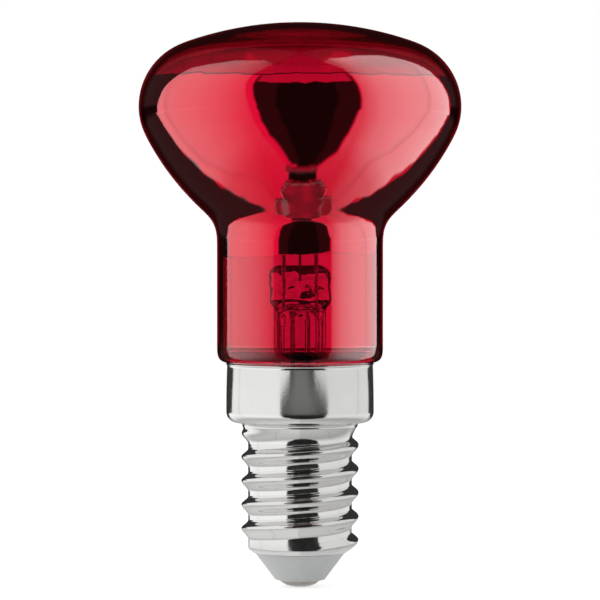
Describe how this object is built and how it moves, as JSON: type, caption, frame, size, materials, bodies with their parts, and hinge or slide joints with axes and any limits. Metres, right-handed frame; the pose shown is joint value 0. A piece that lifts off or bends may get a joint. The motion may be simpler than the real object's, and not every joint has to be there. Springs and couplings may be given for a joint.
{
  "type": "infrared heat lamp bulb",
  "caption": "Red glass reflector heat lamp with a mirrored bowl, straight neck, inner stem and filament, and a small screw cap with a centre contact.",
  "frame": {"origin": "on the lamp's axis, in the plane where the cap's plain skirt steps in to its thread", "axes": "+Z along the lamp's axis from the cap to the dome; -Y faces the viewer of the picture"},
  "size_m": [0.038, 0.038, 0.0665],
  "materials": {
    "red_glass": "deep red transparent glass, mirrored inside the bowl",
    "clear_glass": "clear flame-worked glass",
    "lead_wire": "drawn nickel wire",
    "tungsten": "dark drawn wire",
    "nickel_sheet": "bright nickel-plated sheet with fine grain",
    "insulator_glass": "opaque pale grey fused glass",
    "contact_brass": "plain stamped disc",
    "solder": "satin solder",
    "cement": "matt basing cement"
  },
  "bodies": {
    "root": {"glass_envelope": "red_glass", "stem_glass": "clear_glass", "exhaust_tube": "clear_glass", "seal_wire_left": "lead_wire", "seal_wire_right": "lead_wire", "inner_lead_left": "lead_wire", "inner_lead_right": "lead_wire", "side_lead": "lead_wire", "centre_lead": "lead_wire", "filament": "tungsten", "filament_support": "tungsten", "cap_shell": "nickel_sheet", "cap_insulator": "insulator_glass", "contact_plate": "contact_brass", "contact_solder": "solder", "side_solder": "solder", "basing_cement": "cement"}
  },
  "joints": []
}
